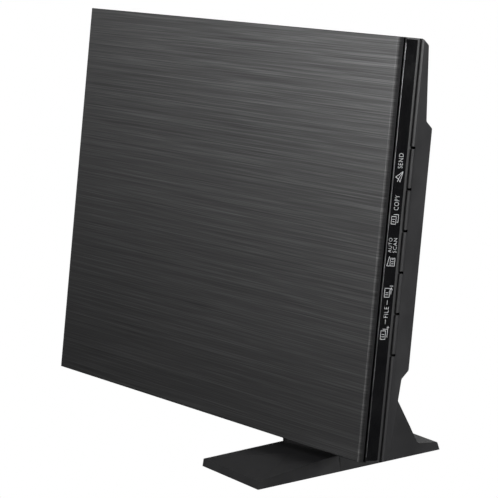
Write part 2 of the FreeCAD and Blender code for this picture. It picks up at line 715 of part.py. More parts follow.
def scan_motor():
    can = rod_along_y(SENSOR_X, MOTOR_Z, BRACKET_Y1 + FIT, 36.5, MOTOR_R)
    step = rod_along_y(SENSOR_X, MOTOR_Z, 36.5, 37.0, 3.0)
    bore = rod_along_y(SENSOR_X, MOTOR_Z, BRACKET_Y1 - 1, 31, 1.0 + RUNNING)
    return minus(union([can, step]), [bore])


def motor_shaft():
    return rod_along_y(SENSOR_X, MOTOR_Z, WHEEL_Y0 - 0.4, 30.5, 1.0)


def guide_rod():
    return rod_along_x(ROD_Y, ROD_Z, ROD_X0, ROD_X1, ROD_R)


def rod_clip(span):
    x0, x1 = span
    saddle = prism_x([(ROD_Y - 0.1, ROD_Z - 6), (ROD_Y - 0.1, ROD_Z + 6), (ROD_Y - 4.8, ROD_Z + 5, 1),
                      (ROD_Y - 4.8, ROD_Z - 5, 1)], x0, x1)
    return saddle.cut(rod_along_x(ROD_Y, ROD_Z, x0 - 1, x1 + 1, ROD_R + 0.05))


# ---------------------------------------------------------------- stand
def scanner_envelope():
    """The scanner's outside, a little larger, used to shape the stand's cradle."""
    grow = STAND_GAP
    body = base_section(-grow, RIM_TOP)
    reach = 40.0
    base = prism_x(body, STAND_X0 - reach, STAND_X1 + reach)
    front = box(STAND_X0 - reach, STAND_X1 + reach, -60, SIDE_DEPTH, -grow, WIDTH)
    return lean(union([base, front]))


def front_foot():
    """A low wedge whose top is flat facets that meet at a point in front of the seat."""
    z0 = STAND_BOTTOM
    toe_left = 5.0
    toe_right = 5.3
    meet = 14.5
    draft = 0.18            # the front face leans back by this share of its height
    bottom = [Vector(STAND_X0, STAND_FRONT, z0), Vector(STAND_X1, STAND_FRONT, z0),
              Vector(STAND_X1, meet, z0), Vector(STAND_X0, meet, z0)]
    front_left = Vector(STAND_X0 + 0.3, STAND_FRONT + draft * (toe_left - z0), toe_left)
    front_right = Vector(STAND_X1 - 0.3, STAND_FRONT + draft * (toe_right - z0), toe_right)
    crest_right = Vector(STAND_X1 - 0.3, 2.3, 10.3)
    back_right = Vector(STAND_X1 - 0.3, meet, 10.4)
    back_left = Vector(STAND_X0 + 0.3, meet, 5.6)
    peak = Vector((STAND_X0 + STAND_X1) / 2, 0.1, 7.7)
    return solid_from_faces([
        list(reversed(bottom)),
        [bottom[0], bottom[1], front_right, front_left],
        [bottom[1], bottom[2], back_right], [bottom[1], back_right, crest_right],
        [bottom[1], crest_right, front_right],
        [bottom[2], bottom[3], back_left, back_right],
        [bottom[3], bottom[0], front_left], [bottom[3], front_left, back_left],
        [front_left, front_right, peak], [front_right, crest_right, peak],
        [crest_right, back_right, peak], [back_right, back_left, peak],
        [back_left, front_left, peak]])


def stand_base():
    back = [(14, STAND_BOTTOM), (14, 20), (26, 20), (26, 70), (41.5, 70, 2), (66.3, 18.8, 8),
            (71.4, 7.4, 4), (86.3, 5.6, 1.2), (STAND_BACK, STAND_BOTTOM)]
    cradle = prism_x(back, STAND_X0, STAND_X1)
    envelope = scanner_envelope()
    top_limit = lean(box(STAND_X0 - 40, STAND_X1 + 40, 10, 120, 43.0, WIDTH))
    side_margin = 6.0
    hollow_x0 = STAND_X0 + side_margin
    hollow_x1 = STAND_X1 - side_margin
    low = STAND_BOTTOM - 1
    toe_hollow = [(-36, low), (-36, 2.8), (0, 4.2), (4, 4.2), (4, low)]
    seat_hollow = [(7.5, low), (7.5, 3.9), (16.4, 3.9), (16.4, 8.4), (25, 6.0), (25, low)]
    back_hollow = [(28.5, low), (29.5, 10), (38.4, 45), (49.0, 45), (58.0, 26), (63.0, 15),
                   (67.5, 5), (78, 3.4), (78, low)]
    solid = union([front_foot(), cradle])
    solid = minus(solid, [envelope, top_limit])
    middle_x = (STAND_X0 + STAND_X1) / 2
    rib_half = 1.2
    cuts = []
    for x0, x1 in ((hollow_x0, middle_x - rib_half), (middle_x + rib_half, hollow_x1)):
        for hollow in (toe_hollow, seat_hollow, back_hollow):
            cuts.append(prism_x(hollow, x0, x1))
    for x, y in stand_pad_spots():
        cuts.append(Part.makeCylinder(PAD_R + 0.05, PAD_THICK + 1, Vector(x, y, -1)))
    return minus(solid, cuts)


def stand_pad_spots():
    inset = 6.8
    return [(x, y) for x in (STAND_X0 + inset, STAND_X1 - inset)
            for y in (STAND_FRONT + inset, STAND_BACK - inset - 1.5)]


def stand_pad(x, y):
    return Part.makeCylinder(PAD_R, PAD_THICK, Vector(x, y, 0))


# ---------------------------------------------------------------- build
def main():
    os.makedirs("parts", exist_ok=True)

    save("stand_base", stand_base())
    save("stand_pads", group(stand_pad(x, y) for x, y in stand_pad_spots()))

    save_scanner("base_shell", base_shell())
    save_scanner("base_feet", group(base_foot(x, z) for x, z in FOOT_SPOTS))
    save_scanner("case_screws", group(case_screw(x, z) for x, z in SCREW_SPOTS))
    save_scanner("platen_frame", platen_frame())
    save_scanner("platen_glass", platen_glass())
    save_scanner("calibration_strip", calibration_strip(0.0))
    save_scanner("label_strip", strip_shape(0.0))
    save_scanner("guide_rod", guide_rod())
    save_scanner("rod_clips", group(rod_clip(span) for span in (REAR_CLIP, FRONT_CLIP)))
    save_scanner("drive_rack", drive_rack())
    save_scanner("main_board", main_board())
    save_scanner("usb_socket", usb_socket())
    save_scanner("flex_cable", flex_cable())
    save_scanner("button_board", button_board())
    save_scanner("button_switches", group(button_switch(z) for z in BUTTON_ZS))

    for name, z in zip(BUTTON_NAMES, BUTTON_ZS):
        save_scanner(name, button(z))

    for name, z in zip(("hinge_leg_lower", "hinge_leg_upper"), HINGE_ZS):
        save_scanner(name, hinge_leg(z))
    save_scanner("hinge_pins", group(hinge_pin(z) for z in HINGE_ZS))

    save_scanner("lid_cover", lid_cover())
    save_scanner("lid_inner_panel", lid_inner_panel())
    save_scanner("document_pad", pad_layer(PANEL_Y1, PAD_Y1))
    save_scanner("pad_sheet", pad_layer(PAD_Y1, SHEET_Y1))

    save_scanner("carriage_tray", carriage_tray())
    save_scanner("rod_bushes", group([rod_bush(SENSOR_X - 9, SENSOR_X - 3),
                                      rod_bush(SENSOR_X + 3, SENSOR_X + 9)]))
    save_scanner("sensor_housing", sensor_housing())
    save_scanner("lens_array", optic_bar(LENS, 0.0))
    save_scanner("light_guide", optic_bar(GUIDE, 0.0))
    save_scanner("sensor_board", sensor_board())
    save_scanner("glass_spacers", group(glass_spacer(SENSOR_X + dx, z) for dx in (-5, 5)
                                        for z in (14.5, WIDTH - 14.5)))
    save_scanner("carriage_springs", group(carriage_spring(z) for z in (17.0, WIDTH - 17.0)))
    save_scanner("motor_bracket", motor_bracket())
    save_scanner("scan_motor", scan_motor())
    save_scanner("motor_shaft", motor_shaft())
    save_scanner("motor_pinion", motor_pinion())
    save_scanner("reduction_gear", reduction_gear())
    save_scanner("gear_axle", gear_axle())


main()
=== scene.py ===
import json
import math

import bmesh
import bpy
from mathutils import Matrix, Vector


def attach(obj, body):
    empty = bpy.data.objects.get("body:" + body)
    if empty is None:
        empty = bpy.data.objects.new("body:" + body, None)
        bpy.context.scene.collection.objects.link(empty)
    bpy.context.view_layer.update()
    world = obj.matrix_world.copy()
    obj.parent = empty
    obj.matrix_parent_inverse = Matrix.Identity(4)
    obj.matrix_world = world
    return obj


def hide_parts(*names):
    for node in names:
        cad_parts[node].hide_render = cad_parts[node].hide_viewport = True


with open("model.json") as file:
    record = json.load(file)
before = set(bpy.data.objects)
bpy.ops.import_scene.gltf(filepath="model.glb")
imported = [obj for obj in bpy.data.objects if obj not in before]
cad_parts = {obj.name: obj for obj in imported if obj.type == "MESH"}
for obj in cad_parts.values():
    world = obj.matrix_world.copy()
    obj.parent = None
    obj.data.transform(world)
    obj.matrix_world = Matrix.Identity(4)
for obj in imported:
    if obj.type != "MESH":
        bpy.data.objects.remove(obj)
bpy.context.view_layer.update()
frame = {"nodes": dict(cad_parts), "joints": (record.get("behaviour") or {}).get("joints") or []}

MM = 0.001

# ------------------------------------------------------------------ the scanner's own axes
# The scanner leans and tilts on the floor. Its axes come from the joints of the frame:
# along (hinge end to button end), depth (lid face into the body) and rise (towards its top edge).
# Lengths in these axes are in millimetres.
JOINTS = {joint["name"]: joint for joint in frame["joints"]}
ALONG = Vector(JOINTS["carriage_slide"]["axis"])
DEPTH = -Vector(JOINTS["hinge_lift"]["axis"])
RISE = Vector(JOINTS["stand_lift_off"]["axis"])
LENGTH = 367.0
WIDTH = 250.0
LEAN_DEG = 10.12
TILT_DEG = 2.386
LID_PIVOT = (3.2, 3.2, WIDTH / 2)
TURN = Matrix((ALONG, DEPTH, RISE)).transposed()
CORNER = Vector(JOINTS["lid_hinge"]["pos_m"]) - TURN @ (Vector(LID_PIVOT) * MM)


def at(along, depth, rise):
    """A point given in the scanner's axes, in millimetres, as a place in the frame, in metres."""
    return CORNER + TURN @ (Vector((along, depth, rise)) * MM)


# ------------------------------------------------------------------ camera
# The focal length, place and small roll give the photograph's long-lens view.
VIEW_DIRECTION = Vector((-0.829198, 0.517711, -0.210725)).normalized()
VIEW_ROLL_DEG = -2.0768
CAMERA_PLACE = Vector((1.46682, -0.89034, 0.48149))
LENS_MM = 198.361


def make_camera():
    data = bpy.data.cameras.new("camera")
    data.lens = LENS_MM
    data.sensor_width = 36.0
    data.clip_end = 20.0
    camera = bpy.data.objects.new("camera", data)
    bpy.context.scene.collection.objects.link(camera)
    level_right = VIEW_DIRECTION.cross(Vector((0, 0, 1))).normalized()
    level_up = level_right.cross(VIEW_DIRECTION)
    roll = math.radians(VIEW_ROLL_DEG)
    right = level_right * math.cos(roll) + level_up * math.sin(roll)
    up = right.cross(VIEW_DIRECTION)
    basis = Matrix((right, up, -VIEW_DIRECTION)).transposed().to_4x4()
    camera.matrix_world = Matrix.Translation(CAMERA_PLACE) @ basis
    bpy.context.scene.camera = camera


make_camera()


# ------------------------------------------------------------------ studio
SUBJECT_MIDDLE = (0.0, 0.0, 0.13)
UPPER_CORNER = (0.15, 0.02, 0.25)
ROOM_COLOR = (0.9, 0.92, 1.0, 1)
ROOM_STRENGTH = 0.012
WHITE = (1, 1, 1, 1)

# name, place, what it points at, width and height in metres, power in watts
SOFTBOXES = [
    ("left_softbox", (-1.3, -1.55, 1.0), SUBJECT_MIDDLE, 1.1, 1.1, 17.0),
    ("right_softbox", (1.9, 0.5, 0.6), SUBJECT_MIDDLE, 0.8, 0.8, 10.6),
    ("corner_softbox", (1.0, 1.2, 0.45), SUBJECT_MIDDLE, 0.6, 0.5, 19.0),
    ("back_softbox", (-0.9, 1.6, 0.7), SUBJECT_MIDDLE, 1.2, 0.9, 4.3),
    ("front_softbox", (-0.25, -1.7, 0.4), SUBJECT_MIDDLE, 0.4, 0.6, 4.0),
    ("upper_fill", (0.28, -0.35, 0.55), UPPER_CORNER, 0.25, 0.25, 1.1)]


def area_light(name, place, target, width, height, power):
    data = bpy.data.lights.new(name, "AREA")
    data.shape = "RECTANGLE"
    data.size = width
    data.size_y = height
    data.energy = power
    light = bpy.data.objects.new(name, data)
    bpy.context.scene.collection.objects.link(light)
    light.location = place
    aim = (Vector(target) - Vector(place)).to_track_quat("-Z", "Y")
    light.rotation_euler = aim.to_euler()
    light.visible_camera = False


def make_studio():
    """Six softboxes in a nearly dark room. Only the camera sees the white backdrop."""
    scene = bpy.context.scene
    scene.view_settings.view_transform = "Standard"
    for softbox in SOFTBOXES:
        area_light(*softbox)

    world = bpy.data.worlds.new("studio")
    scene.world = world
    world.use_nodes = True
    tree = world.node_tree
    tree.nodes.clear()
    out = tree.nodes.new("ShaderNodeOutputWorld")
    mix = tree.nodes.new("ShaderNodeMixShader")
    path = tree.nodes.new("ShaderNodeLightPath")
    room = tree.nodes.new("ShaderNodeBackground")
    room.inputs["Color"].default_value = ROOM_COLOR
    room.inputs["Strength"].default_value = ROOM_STRENGTH
    backdrop = tree.nodes.new("ShaderNodeBackground")
    backdrop.inputs["Color"].default_value = WHITE
    backdrop.inputs["Strength"].default_value = 1.0
    tree.links.new(path.outputs["Is Camera Ray"], mix.inputs["Fac"])
    tree.links.new(room.outputs["Background"], mix.inputs[1])
    tree.links.new(backdrop.outputs["Background"], mix.inputs[2])
    tree.links.new(mix.outputs["Shader"], out.inputs["Surface"])


make_studio()


# ------------------------------------------------------------------ material helpers
class Painter:
    """Builds one node material. Sockets are passed around as the values of its methods."""

    def __init__(self, name, color, roughness, metallic=0.0):
        self.material = bpy.data.materials.new(name)
        self.material.use_nodes = True
        self.tree = self.material.node_tree
        self.shader = self.tree.nodes["Principled BSDF"]
        self.set("Base Color", (*color, 1))
        self.set("Roughness", roughness)
        self.set("Metallic", metallic)

    def set(self, socket, value):
        self.shader.inputs[socket].default_value = value

    def add(self, kind, **settings):
        node = self.tree.nodes.new(kind)
        for key, value in settings.items():
            setattr(node, key, value)
        return node

    def link(self, source, target):
        self.tree.links.new(source, target)

    def object_space(self):
        return self.add("ShaderNodeTexCoord").outputs["Object"]

    def scanner_space(self):
        """Coordinates along, in depth and up the scanner, in metres, that ride with the body."""
        lean = math.radians(LEAN_DEG)
        tilt = math.radians(TILT_DEG)
        first = self.add("ShaderNodeMapping")
        turn_y = Matrix.Rotation(tilt, 3, "Y")
        first.inputs["Rotation"].default_value = (0, tilt, 0)
        first.inputs["Location"].default_value = -(turn_y @ CORNER)
        second = self.add("ShaderNodeMapping")
        second.inputs["Rotation"].default_value = (lean, 0, 0)
        self.link(self.object_space(), first.inputs["Vector"])
        self.link(first.outputs["Vector"], second.inputs["Vector"])
        return second.outputs["Vector"]

    def scaled(self, vector, scale):
        node = self.add("ShaderNodeMapping")
        node.inputs["Scale"].default_value = scale
        self.link(vector, node.inputs["Vector"])
        return node.outputs["Vector"]

    def noise(self, vector, scale, detail=3.0, roughness=0.5):
        node = self.add("ShaderNodeTexNoise")
        node.inputs["Scale"].default_value = scale
        node.inputs["Detail"].default_value = detail
        node.inputs["Roughness"].default_value = roughness
        self.link(vector, node.inputs["Vector"])
        return node.outputs["Fac"]

    def ramp(self, value, stops):
        node = self.add("ShaderNodeValToRGB")
        ramp = node.color_ramp
        while len(ramp.elements) < len(stops):
            ramp.elements.new(0.5)
        for element, (place, color) in zip(ramp.elements, stops):
            element.position = place
            element.color = (*color, 1)
        self.link(value, node.inputs["Fac"])
        return node.outputs["Color"]

    def mapped(self, value, start, end, low, high):
        """The value, taken from start..end to low..high and held there beyond the ends."""
        node = self.add("ShaderNodeMapRange")
        node.inputs["From Min"].default_value = start
        node.inputs["From Max"].default_value = end
        node.inputs["To Min"].default_value = low
        node.inputs["To Max"].default_value = high
        self.link(value, node.inputs["Value"])
        return node.outputs["Result"]

    def spread(self, noise, low, high):
        """Noise sits mostly between 0.3 and 0.7. This spreads it over low..high."""
        return self.mapped(noise, 0.3, 0.7, low, high)

    def parts(self, vector):
        """The X, Y and Z sockets of a vector."""
        node = self.add("ShaderNodeSeparateXYZ")
        self.link(vector, node.inputs["Vector"])
        return node.outputs["X"], node.outputs["Y"], node.outputs["Z"]

    def mixed(self, factor, a, b):
        """A number between a, which is plain, and b, which is a socket or plain."""
        node = self.add("ShaderNodeMix")
        self.link(factor, node.inputs["Factor"])
        node.inputs[2].default_value = a
        if isinstance(b, (int, float)):
            node.inputs[3].default_value = b
        else:
            self.link(b, node.inputs[3])
        return node.outputs[0]

    def math(self, operation, a, b=None):
        node = self.add("ShaderNodeMath", operation=operation)
        for slot, value in zip(node.inputs, (a, b)):
            if value is None:
                continue
            if isinstance(value, (int, float)):
                slot.default_value = value
            else:
                self.link(value, slot)
        return node.outputs["Value"]

    def blend(self, factor, a, b):
        """A colour between a and b. Each is a socket or an RGB triple."""
        node = self.add("ShaderNodeMix", data_type="RGBA")
        self.link(factor, node.inputs["Factor"])
        for slot, value in ((node.inputs[6], a), (node.inputs[7], b)):
            if isinstance(value, tuple):
                slot.default_value = (*value, 1)
            else:
                self.link(value, slot)
        return node.outputs[2]

    def bump(self, height, strength, distance_mm):
        node = self.add("ShaderNodeBump")
        node.inputs["Strength"].default_value = strength
        node.inputs["Distance"].default_value = distance_mm * MM
        self.link(height, node.inputs["Height"])
        self.link(node.outputs["Normal"], self.shader.inputs["Normal"])

    def into(self, value, socket):
        self.link(value, self.shader.inputs[socket])


def grained_plastic(name, dark, light, roughness, grain_mm=0.45, strength=0.25, depth_mm=0.03):
    """Moulded plastic with a fine spark-eroded grain and faint mottling."""
    paint = Painter(name, dark, roughness)
    space = paint.object_space()
    grain = paint.noise(space, 1.0 / (grain_mm * MM), 2.0, 0.6)
    mottle = paint.noise(space, 28.0, 4.0, 0.6)
    paint.into(paint.ramp(mottle, [(0.3, dark), (0.7, light)]), "Base Color")
    uneven = paint.math("ADD", paint.math("MULTIPLY", grain, 0.5),
                        paint.math("MULTIPLY", mottle, 0.5))
    paint.into(paint.spread(uneven, roughness - 0.05, roughness + 0.07), "Roughness")
    paint.bump(grain, strength, depth_mm)
    return paint.material


FACE_END = 0.05
NOSE_FADE = (0.25, 2.1)


def brushed_lid():
    """Hairlines along the length on the outer face, fading to dull plastic round the edges."""
    paint = Painter("lid_hairline", (0.09, 0.09, 0.091), 0.36, 0.96)
    space = paint.scanner_space()
    fine = paint.noise(paint.scaled(space, (16.0, 1.0, 3400.0)), 1.0, 2.0, 0.6)
    medium = paint.noise(paint.scaled(space, (7.0, 1.0, 1500.0)), 1.0, 3.0, 0.6)
    broad = paint.noise(paint.scaled(space, (3.0, 1.0, 420.0)), 1.0, 2.0, 0.5)
    streaks = paint.math("ADD", paint.math("MULTIPLY", fine, 0.34),
                         paint.math("ADD", paint.math("MULTIPLY", medium, 0.42),
                                    paint.math("MULTIPLY", broad, 0.24)))
    _, depth, _ = paint.parts(space)
    brushed = paint.mapped(depth, NOSE_FADE[0] * MM, NOSE_FADE[1] * MM, 1.0, 0.0)
    hairline = paint.ramp(streaks, [(0.33, (0.054, 0.054, 0.055)), (0.5, (0.13, 0.13, 0.131)),
                                    (0.67, (0.28, 0.28, 0.282))])
    paint.into(paint.blend(brushed, (0.022, 0.022, 0.023), hairline), "Base Color")
    face = paint.math("LESS_THAN", depth, FACE_END * MM)
    face_rough = paint.mixed(brushed, 0.62, paint.spread(streaks, 0.42, 0.31))
    paint.into(paint.mixed(face, 0.6, face_rough), "Roughness")
    paint.bump(paint.math("MULTIPLY", streaks, face), 0.35, 0.12)
    return paint.material


# Where the painted shade of the gap under the lid ends: its depth from the lid, and how far it
# reaches in from the end face.
GAP_END = 4.3
END_FACE_DEEP = 1.2


def frame_plastic():
    """The case plastic, with painted shade: the gap beside the lid is painted near-black and dull,
    standing in for the shadow under the lid's overhang.
    """
    paint = Painter("frame_plastic", (0.018, 0.018, 0.019), 0.42)
    space = paint.object_space()
    grain = paint.noise(space, 2200.0, 2.0, 0.6)
    mottle = paint.noise(space, 28.0, 4.0, 0.6)
    body = paint.ramp(mottle, [(0.3, (0.014, 0.014, 0.015)), (0.7, (0.021, 0.021, 0.022))])
    along, depth, _ = paint.parts(paint.scanner_space())
    # Painted shade: on the end face next to the lid, the colour is set near-black and the specular
    # is lowered, standing in for the shadow in the gap under the lid.
    at_end = paint.math("GREATER_THAN", along, (LENGTH - END_FACE_DEEP) * MM)
    gap = paint.math("MULTIPLY", at_end, paint.math("LESS_THAN", depth, GAP_END * MM))
    painted_gap_shade = paint.ramp(grain, [(0.3, (0.0008, 0.0008, 0.0008)), (0.7, (0.0018, 0.0018, 0.0018))])
    paint.into(paint.blend(gap, body, painted_gap_shade), "Base Color")
    paint.into(paint.mixed(gap, 0.5, 0.02), "Specular IOR Level")
    paint.into(paint.spread(mottle, 0.38, 0.5), "Roughness")
    paint.bump(grain, 0.25, 0.03)
    return paint.material


def gloss_black():
    paint = Painter("gloss_black", (0.005, 0.005, 0.0055), 0.1)
    space = paint.object_space()
    haze = paint.noise(space, 60.0, 4.0, 0.65)
    paint.into(paint.spread(haze, 0.07, 0.16), "Roughness")
    paint.into(paint.ramp(haze, [(0.3, (0.004, 0.004, 0.0045)), (0.7, (0.007, 0.007, 0.0075))]),
               "Base Color")
    paint.bump(paint.noise(space, 260.0, 1.0), 0.05, 0.02)
    return paint.material


def polished_edge():
    """A bright finish for the rounded edge of the strip, so that it catches light as a line."""
    paint = Painter("polished_edge", (0.3, 0.3, 0.31), 0.32, 1.0)
    wear = paint.noise(paint.object_space(), 90.0, 4.0, 0.6)
    paint.into(paint.ramp(wear, [(0.3, (0.24, 0.24, 0.25)), (0.7, (0.4, 0.4, 0.41))]),
               "Base Color")
    paint.into(paint.spread(wear, 0.27, 0.38), "Roughness")
    return paint.material


def print_ink():
    paint = Painter("label_ink", (0.5, 0.5, 0.51), 0.5)
    speck = paint.noise(paint.object_space(), 2500.0, 2.0)
    paint.into(paint.ramp(speck, [(0.3, (0.46, 0.46, 0.47)), (0.6, (0.56, 0.57, 0.58))]),
               "Base Color")
    return paint.material


def rubber():
    paint = Painter("rubber", (0.018, 0.018, 0.018), 0.75)
    grain = paint.noise(paint.object_space(), 1400.0, 3.0, 0.7)
    paint.into(paint.ramp(grain, [(0.3, (0.012, 0.012, 0.012)), (0.7, (0.028, 0.028, 0.028))]),
               "Base Color")
    paint.into(paint.spread(grain, 0.68, 0.86), "Roughness")
    paint.bump(grain, 0.4, 0.05)
    return paint.material


def metal(name, color, roughness, along=(1.0, 60.0, 60.0)):
    """Ground or drawn metal, with fine marks across the given axis."""
    paint = Painter(name, color, roughness, 1.0)
    marks = paint.noise(paint.scaled(paint.scanner_space(), along), 22.0, 4.0, 0.6)
    dark = tuple(c * 0.72 for c in color)
    paint.into(paint.ramp(marks, [(0.3, dark), (0.7, color)]), "Base Color")
    paint.into(paint.spread(marks, roughness - 0.08, roughness + 0.1), "Roughness")
    paint.bump(marks, 0.12, 0.02)
    return paint.material


def clear(name, color, roughness, ior):
    paint = Painter(name, color, roughness)
    paint.set("Transmission Weight", 1.0)
    paint.set("IOR", ior)
    haze = paint.noise(paint.object_space(), 35.0, 3.0)
    paint.into(paint.spread(haze, roughness, roughness + 0.015), "Roughness")
    return paint.material


def pale_plastic(name, dark, light, roughness):
    paint = Painter(name, light, roughness)
    space = paint.object_space()
    cloud = paint.noise(space, 45.0, 4.0, 0.6)
    paint.into(paint.ramp(cloud, [(0.3, dark), (0.7, light)]), "Base Color")
    paint.into(paint.spread(cloud, roughness - 0.04, roughness + 0.06), "Roughness")
    paint.bump(paint.noise(space, 1800.0, 2.0), 0.12, 0.02)
    return paint.material


def foam():
    paint = Painter("foam", (0.5, 0.5, 0.5), 0.9)
    cell = paint.add("ShaderNodeTexVoronoi")
    cell.inputs["Scale"].default_value = 1600.0
    paint.link(paint.object_space(), cell.inputs["Vector"])
    pores = cell.outputs["Distance"]
    paint.into(paint.ramp(pores, [(0.1, (0.34, 0.34, 0.34)), (0.5, (0.6, 0.6, 0.6))]),
               "Base Color")
    paint.set("Sheen Weight", 0.25)
    paint.bump(pores, 0.5, 0.12)
    return paint.material


def circuit_board():
    """Green solder mask with faint copper runs below it and pads."""
    paint = Painter("circuit_board", (0.01, 0.09, 0.04), 0.35)
    space = paint.scanner_space()
    runs = paint.add("ShaderNodeTexBrick")
    runs.inputs["Scale"].default_value = 420.0
    runs.inputs["Mortar Size"].default_value = 0.06
    runs.inputs["Color1"].default_value = (0.006, 0.07, 0.03, 1)
    runs.inputs["Color2"].default_value = (0.012, 0.1, 0.045, 1)
    runs.inputs["Mortar"].default_value = (0.03, 0.17, 0.07, 1)
    turned = paint.add("ShaderNodeMapping")
    turned.inputs["Rotation"].default_value = (math.radians(90), 0, 0)
    paint.link(space, turned.inputs["Vector"])
    paint.link(turned.outputs["Vector"], runs.inputs["Vector"])
    paint.into(runs.outputs["Color"], "Base Color")
    gloss = paint.noise(space, 120.0, 3.0)
    paint.into(paint.spread(gloss, 0.28, 0.42), "Roughness")
    paint.bump(runs.outputs["Fac"], 0.2, 0.03)
    return paint.material


# ------------------------------------------------------------------ materials of the frame's nodes
def dress_nodes():
    case = grained_plastic("case_plastic", (0.016, 0.016, 0.017), (0.024, 0.024, 0.025), 0.42)
    stand = grained_plastic("stand_plastic", (0.017, 0.017, 0.018), (0.025, 0.025, 0.026), 0.36,
                            0.6, 0.2)
    satin = grained_plastic("button_plastic", (0.024, 0.024, 0.025), (0.034, 0.034, 0.035), 0.33,
                            0.3, 0.12)
    inner = grained_plastic("inner_plastic", (0.012, 0.012, 0.012), (0.02, 0.02, 0.02), 0.55)
    black_rubber = rubber()
    steel = metal("ground_steel", (0.56, 0.57, 0.58), 0.28)
    tin = metal("tinned_steel", (0.62, 0.62, 0.64), 0.25)
    brass = metal("brass", (0.72, 0.52, 0.2), 0.25)
    screw = metal("black_zinc", (0.07, 0.07, 0.075), 0.4)
    acetal = pale_plastic("acetal", (0.66, 0.65, 0.6), (0.78, 0.77, 0.72), 0.38)
    white = pale_plastic("white_film", (0.78, 0.78, 0.77), (0.86, 0.86, 0.85), 0.45)
    film = pale_plastic("cable_film", (0.6, 0.62, 0.65), (0.74, 0.76, 0.78), 0.3)
    board = circuit_board()
    glass = clear("float_glass", (0.93, 0.98, 0.96), 0.0, 1.5)
    lens = clear("rod_lens", (0.6, 0.68, 0.72), 0.05, 1.52)
    guide = clear("acrylic", (0.95, 0.97, 0.98), 0.04, 1.49)
    finishes = {
        "stand_base": stand, "stand_pads": black_rubber, "base_shell": case,
        "base_feet": black_rubber, "case_screws": screw, "platen_frame": frame_plastic(),
        "platen_glass": glass, "calibration_strip": white, "label_strip": gloss_black(),
        "guide_rod": steel, "rod_clips": inner, "drive_rack": acetal, "main_board": board,
        "usb_socket": tin, "flex_cable": film, "button_board": board, "button_switches": tin,
        "hinge_leg_lower": inner, "hinge_leg_upper": inner, "hinge_pins": steel,
        "lid_cover": brushed_lid(), "lid_inner_panel": inner, "pad_sheet": white,
        "carriage_tray": inner, "rod_bushes": acetal,
        "sensor_housing": inner, "lens_array": lens, "light_guide": guide, "sensor_board": board,
        "glass_spacers": acetal, "carriage_springs": steel, "motor_bracket": steel,
        "scan_motor": tin, "motor_shaft": steel, "motor_pinion": brass, "reduction_gear": acetal,
        "gear_axle": steel}
    for name, node in frame["nodes"].items():
        node.data.materials.clear()
        node.data.materials.append(finishes.get(name, satin))


dress_nodes()


# ------------------------------------------------------------------ pieces made here
def new_piece(name, solid, material):
    """Takes over a finished bmesh and links it as an object with one material."""
    data = bpy.data.meshes.new(name)
    solid.to_mesh(data)
    solid.free()
    data.materials.append(material)
    piece = bpy.data.objects.new(name, data)
    bpy.context.scene.collection.objects.link(piece)
    return piece


# ------------------------------------------------------------------ printed labels
LABEL_FACE = LENGTH
INK_THICK = 0.03
STRIP_MIDDLE = 9.0
BUTTON_PITCH = 24.5
STROKE = 0.3
STROKE_OVERRUN = 0.8
LETTER_SPACING = 1.12
LETTER_THINNING = -0.012


def button_rise(index):
    return WIDTH / 2 + (index - 2) * BUTTON_PITCH


def on_strip(across, up, lift):
    """A point on the label strip: across runs from the lid to the base, up along its length."""
    return at(LABEL_FACE + lift, STRIP_MIDDLE + across, up)


def ribbon_piece(name, lines, middle, ink):
    """Thin raised strokes; each line is a list of (across, up) points in mm about the middle."""
    mesh = bmesh.new()
    half = STROKE / 2
    for line in lines:
        for start, end in zip(line[:-1], line[1:]):
            a = Vector(start)
            b = Vector(end)
            run = (b - a).normalized()
            side = Vector((-run.y, run.x)) * half
            a = a - run * half * STROKE_OVERRUN
            b = b + run * half * STROKE_OVERRUN
            corners = [a + side, b + side, b - side, a - side]
            low = [mesh.verts.new(on_strip(c.x, middle + c.y, 0.0)) for c in corners]
            top = [mesh.verts.new(on_strip(c.x, middle + c.y, INK_THICK)) for c in corners]
            mesh.faces.new(top)
            mesh.faces.new(list(reversed(low)))
            for i in range(4):
                j = (i + 1) % 4
                mesh.faces.new((low[i], low[j], top[j], top[i]))
    bmesh.ops.recalc_face_normals(mesh, faces=mesh.faces)
    piece = new_piece(name, mesh, ink)
    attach(piece, "scanner")


def word_piece(name, word, tall, long, across, up, ink):
    """A printed word of the given height and length that reads upwards along the strip."""
    curve = bpy.data.curves.new(name, "FONT")
    curve.body = word
    curve.size = 1.0
    curve.space_character = LETTER_SPACING
    curve.resolution_u = 3
    curve.offset = LETTER_THINNING
    text = bpy.data.objects.new(name + "_text", curve)
    bpy.context.scene.collection.objects.link(text)
    bpy.context.view_layer.update()
    flat = bpy.data.meshes.new_from_object(text)
    bpy.data.objects.remove(text)
    xs = [vertex.co.x for vertex in flat.vertices]
    ys = [vertex.co.y for vertex in flat.vertices]
    middle = Vector(((min(xs) + max(xs)) / 2, (min(ys) + max(ys)) / 2, 0))
    stretch = long * MM / (max(xs) - min(xs))
    raise_by = tall * MM / (max(ys) - min(ys))
    size = Matrix.Diagonal((stretch, raise_by, 1, 1))
    basis = Matrix((RISE, -DEPTH, ALONG)).transposed().to_4x4()
    flat.transform(Matrix.Translation(on_strip(across, up, INK_THICK)) @ basis @ size
                   @ Matrix.Translation(-middle))
    solid = bmesh.new()
    solid.from_mesh(flat)
    skin = bmesh.ops.extrude_face_region(solid, geom=solid.faces[:])["geom"]
    lower = [item for item in skin if isinstance(item, bmesh.types.BMVert)]
    bmesh.ops.translate(solid, verts=lower, vec=-ALONG * INK_THICK * MM)
    bmesh.ops.recalc_face_normals(solid, faces=solid.faces)
    bpy.data.meshes.remove(flat)
    piece = new_piece(name, solid, ink)
    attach(piece, "scanner")


def page(left, low, wide, tall):
    """The outline of a sheet of paper."""
    return [(left, low), (left + wide, low), (left + wide, low + tall), (left, low + tall),
            (left, low)]


